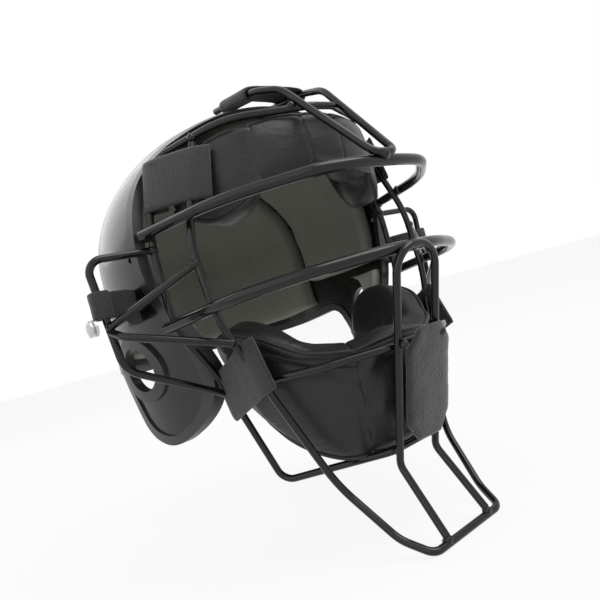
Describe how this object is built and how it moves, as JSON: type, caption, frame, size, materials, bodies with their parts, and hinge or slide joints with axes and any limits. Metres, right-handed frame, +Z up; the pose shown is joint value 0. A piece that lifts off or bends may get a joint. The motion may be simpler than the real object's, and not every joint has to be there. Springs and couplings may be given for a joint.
{
  "type": "baseball catcher helmet",
  "caption": "Catcher's helmet: a foam-lined skull cap with ear flaps, and a welded wire face mask with soft brow and jaw pads, webbing tabs and side straps.",
  "frame": {"origin": "midway between the two ear holes, where the wearer's ears are", "axes": "+Z up, the face looks along -Y, +X is the wearer's left"},
  "size_m": [0.2738, 0.2688, 0.2781],
  "materials": {
    "shell": "gloss black moulded shell",
    "trim": "satin black edge moulding",
    "ring": "black moulded ring",
    "foam": "grey-olive closed-cell foam",
    "pale_foam": "light grey closed-cell foam",
    "cage": "gloss black powder coat over steel wire",
    "pad": "black grained leather-look cover",
    "webbing": "black woven webbing",
    "tab": "dark grey felted tab",
    "stud": "turned bright steel stud",
    "snap": "black domed snap"
  },
  "bodies": {
    "helmet": {"helmet_shell": "shell", "edge_trim": "trim", "ear_ring_left": "ring", "ear_ring_right": "ring", "crown_foam": "foam", "rear_foam": "foam", "side_foam_left": "foam", "side_foam_right": "foam", "ear_foam_left": "pale_foam", "ear_foam_right": "pale_foam"},
    "mask": {"upper_eye_bar": "cage", "lower_eye_bar": "cage", "frame_wire": "cage", "throat_guard_wire": "cage", "mouth_loop_wire": "cage", "crown_loop_wire": "cage", "jaw_bar_wire": "cage", "ear_guard_wire_left": "cage", "ear_guard_wire_right": "cage", "cheek_brace_wire_left": "cage", "cheek_brace_wire_right": "cage", "jaw_brace_wire_left": "cage", "jaw_brace_wire_right": "cage", "brow_pad": "pad", "jaw_pad": "pad", "temple_tab_left": "webbing", "temple_tab_right": "webbing", "crown_tab": "webbing", "jaw_tab_left": "webbing", "jaw_tab_right": "webbing", "chin_tab": "tab"},
    "left_strap": {"side_strap_left": "webbing", "press_stud_left": "stud", "cap_snap_left": "snap"},
    "right_strap": {"side_strap_right": "webbing", "press_stud_right": "stud", "cap_snap_right": "snap"}
  },
  "joints": [
    {"name": "mask_lift", "type": "hinge", "parent": "helmet", "child": "mask", "pos_m": [0, -0.038, 0.1483], "axis": [-1, 0, 0], "range_deg": [0, 60]},
    {"name": "left_strap_swing", "type": "hinge", "parent": "mask", "child": "left_strap", "pos_m": [0.12697, -0.048, 0.03875], "axis": [0, 0, -1], "range_deg": [0, 60]},
    {"name": "right_strap_swing", "type": "hinge", "parent": "mask", "child": "right_strap", "pos_m": [-0.12697, -0.048, 0.03875], "axis": [0, 0, 1], "range_deg": [0, 60]}
  ]
}
